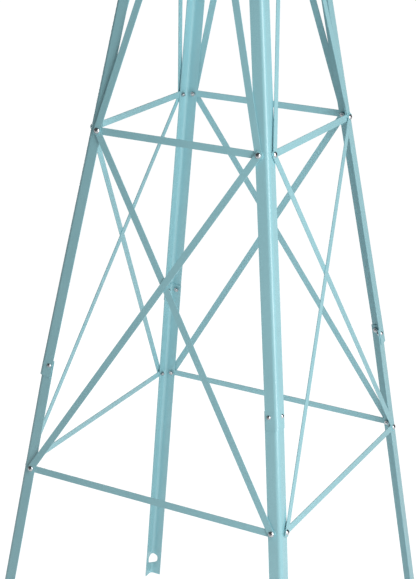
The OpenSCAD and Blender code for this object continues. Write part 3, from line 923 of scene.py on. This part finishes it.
def wheelWelds(s):
    # hub tube to its flange, hoops to the arms, and each sail to both hoops
    place = wheelPlace()
    low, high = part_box("outer_hoop")
    rod = (high.y - low.y) / 2
    hoopRadii = [hoopRadius(node) - rod for node in ("inner_hoop", "outer_hoop")]
    inward = place.inverted()
    hub = [inward @ v.co for v in frame["nodes"]["wheel_hub"].data.vertices]
    widest = max(math.hypot(p.x, p.y) for p in hub)
    rear = min(p.z for p in hub)
    flange = [p.z for p in hub if math.hypot(p.x, p.y) > 0.9 * widest]
    tube = max(math.hypot(p.x, p.y) for p in hub if p.z - rear < mm)
    inset = s["radius"] * s["sink"] * mm
    beads = [
        bead(circlePath(tube + inset, max(flange) + inset), True, s["radius"], s),
        bead(circlePath(tube + inset, min(flange) - inset), True, s["radius"], s),
    ]
    turns = {"arm": 2 * math.pi / s["armCount"], "sail": 2 * math.pi / s["sailCount"]}
    level = s["armDepth"] * mm - rod
    half = s["armHalf"] * mm
    for arm in range(s["armCount"]):
        spin = Matrix.Rotation(math.pi / 2 + turns["sail"] / 2 + turns["arm"] * arm, 4, "Z")
        for radius in hoopRadii:
            for side in (-1, 1):
                away = radius + side * (rod - s["hoopInset"] * mm)
                path = [spin @ Vector((away, across, level)) for across in (-half, half)]
                beads.append(bead(path, False, s["radius"], s))
    pitch = math.radians(s["sailPitch"])
    ring = circlePath(rod + s["lift"] * mm, 0, s["tackSteps"])
    for sail in range(s["sailCount"]):
        spin = Matrix.Rotation(turns["sail"] * sail, 4, "Z")
        for radius in hoopRadii:
            for side in (-1, 1):
                shift = side * (s["sheet"] / 2 * mm) / math.sin(pitch)
                path = [
                    spin @ Vector((shift - up / math.tan(pitch), radius + out, up))
                    for out, up, _ in ring
                ]
                beads.append(bead(path, True, s["tackRadius"], s))
    beadPiece("wheelWelds", beads, "wheel", housingCoat, s["smoothAngle"], place)


random.seed(11)
mastWelds(weldSet)
headWelds(weldSet)
wheelWelds(weldSet)
print("weld beads made")


# ---- pressed stiffening ribs in the sails and the vane

ribSet = dict(
    weldSet, rippleDepth=0.0, wander=0.0, step=1.2, sides=12, endSteps=4,
    hoopSpace=16.0,        # bare sheet left beside each hoop
    vaneRadius=1.8,
    vaneFront=34.0,        # bare sheet left before and behind the ribs of the vane
    vaneTail=54.4,
    vaneRise=0.34,         # of the vane's height, up and down from its middle
)


def sailRibs(s):
    start = hoopRadius("inner_hoop") + s["hoopSpace"] * mm
    end = hoopRadius("outer_hoop") - s["hoopSpace"] * mm
    ribs = []
    for sail in range(s["sailCount"]):
        spin = Matrix.Rotation(2 * math.pi / s["sailCount"] * sail, 4, "Z")
        path = [spin @ Vector((0, reach, 0)) for reach in (start, end)]
        ribs.append(bead(path, False, s["radius"], s))
    beadPiece("sailRibs", ribs, "wheel", sailCoat, s["smoothAngle"], wheelPlace())


def vaneRibs(s):
    low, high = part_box("tail_vane")
    centre = (low + high) / 2
    front, rear = low.y + s["vaneFront"] * mm, high.y - s["vaneTail"] * mm
    ribs = []
    for side in (-1, 1):
        height = centre.z + side * s["vaneRise"] * (high.z - low.z)
        path = [(centre.x, front, height), (centre.x, rear, height)]
        ribs.append(bead(path, False, s["vaneRadius"], s))
    beadPiece("vaneRibs", ribs, "head", sailCoat, s["smoothAngle"])


sailRibs(ribSet)
vaneRibs(ribSet)
print("ribs pressed")


# ---- studio: pale floor, white surround, a large soft key from the right, a weak fill behind

studioSet = {
    "floorSide": 60.0,
    "floorColour": (0.86, 0.86, 0.86, 1),
    "floorPale": (0.90, 0.90, 0.90, 1),
    "floorShow": 0.84,       # how far the floor reads as plain white
    "floorGlow": 0.43,       # light thrown back up by a lit sweep of paper
    "floorRough": 0.9,
    "floorShine": 0.1,
    "floorGrain": 3.0,
    "floorSeen": 1.12,       # brightness shown to the camera
    "surround": 0.10,
    "surroundSeen": 1.05,
    "lampElevation": 20.0,
    "lampDistance": 1.9,
    "lampWide": 0.9,
    "lampTall": 2.2,
    "lampAim": (0.0, 0.0, 0.8),
    "keyAzimuth": 62.0,
    "keyPower": 31.5,
    "fillAzimuth": 232.0,    # a weak lamp behind, for the far sides only
    "fillPower": 15.0,
}


def aroundPoint(azimuth, elevation, distance, aim):
    a, e = math.radians(azimuth), math.radians(elevation)
    away = Vector((math.sin(a) * math.cos(e), -math.cos(a) * math.cos(e), math.sin(e)))
    return aim + distance * away


def addLamp(name, azimuth, power, s):
    lamp = bpy.data.lights.new(name, "AREA")
    lamp.shape = "RECTANGLE"
    lamp.size = s["lampWide"]
    lamp.size_y = s["lampTall"]
    lamp.energy = power
    holder = bpy.data.objects.new(name, lamp)
    aim = Vector(s["lampAim"])
    holder.location = aroundPoint(azimuth, s["lampElevation"], s["lampDistance"], aim)
    holder.rotation_mode = "QUATERNION"
    holder.rotation_quaternion = (aim - holder.location).to_track_quat("-Z", "Y")
    bpy.context.scene.collection.objects.link(holder)


def buildStudio(s):
    side = s["floorSide"] / 2
    corners = [(-side, -side, 0), (side, -side, 0), (side, side, 0), (-side, side, 0)]
    floor = bpy.data.objects.new("floor", meshFrom(corners, [(0, 1, 2, 3)], "floor"))
    bpy.context.scene.collection.objects.link(floor)
    material, tree, shader = startMaterial("paleFloor")
    where = addNode(tree, "ShaderNodeTexCoord", -900, 0).outputs["Object"]
    mottle = noise(tree, where, s["floorGrain"], 5.0, -700, 0)
    shade = mixColour(tree, mottle, s["floorColour"], s["floorPale"], -400, 0)
    tree.links.new(shade, shader.inputs["Base Color"])
    shader.inputs["Roughness"].default_value = s["floorRough"]
    shader.inputs["Specular IOR Level"].default_value = s["floorShine"]
    shader.inputs["Emission Color"].default_value = (1, 1, 1, 1)
    shader.inputs["Emission Strength"].default_value = s["floorGlow"]
    glow = addNode(tree, "ShaderNodeEmission", 0, -300)
    glow.inputs["Strength"].default_value = s["floorSeen"]
    seen = addNode(tree, "ShaderNodeLightPath", -200, -500).outputs["Is Camera Ray"]
    mixer = addNode(tree, "ShaderNodeMixShader", 300, 0)
    tree.links.new(mathNode(tree, "MULTIPLY", seen, s["floorShow"], 0, -500), mixer.inputs[0])
    tree.links.new(shader.outputs[0], mixer.inputs[1])
    tree.links.new(glow.outputs[0], mixer.inputs[2])
    tree.links.new(mixer.outputs[0], tree.nodes["Material Output"].inputs["Surface"])
    floor.data.materials.append(material)

    world = bpy.data.worlds.new("whiteSurround")
    bpy.context.scene.world = world
    world.use_nodes = True
    air = world.node_tree
    dim = air.nodes["Background"]
    dim.inputs["Color"].default_value = (1, 1, 1, 1)
    dim.inputs["Strength"].default_value = s["surround"]
    shown = addNode(air, "ShaderNodeBackground", 0, -200)
    shown.inputs["Color"].default_value = (1, 1, 1, 1)
    shown.inputs["Strength"].default_value = s["surroundSeen"]
    path = addNode(air, "ShaderNodeLightPath", -200, 200).outputs["Is Camera Ray"]
    pick = addNode(air, "ShaderNodeMixShader", 300, 0)
    air.links.new(path, pick.inputs[0])
    air.links.new(dim.outputs[0], pick.inputs[1])
    air.links.new(shown.outputs[0], pick.inputs[2])
    air.links.new(pick.outputs[0], air.nodes["World Output"].inputs["Surface"])

    addLamp("keyLight", s["keyAzimuth"], s["keyPower"], s)
    addLamp("fillLight", s["fillAzimuth"], s["fillPower"], s)
    bpy.context.scene.view_settings.view_transform = "Standard"


buildStudio(studioSet)
print("studio set")
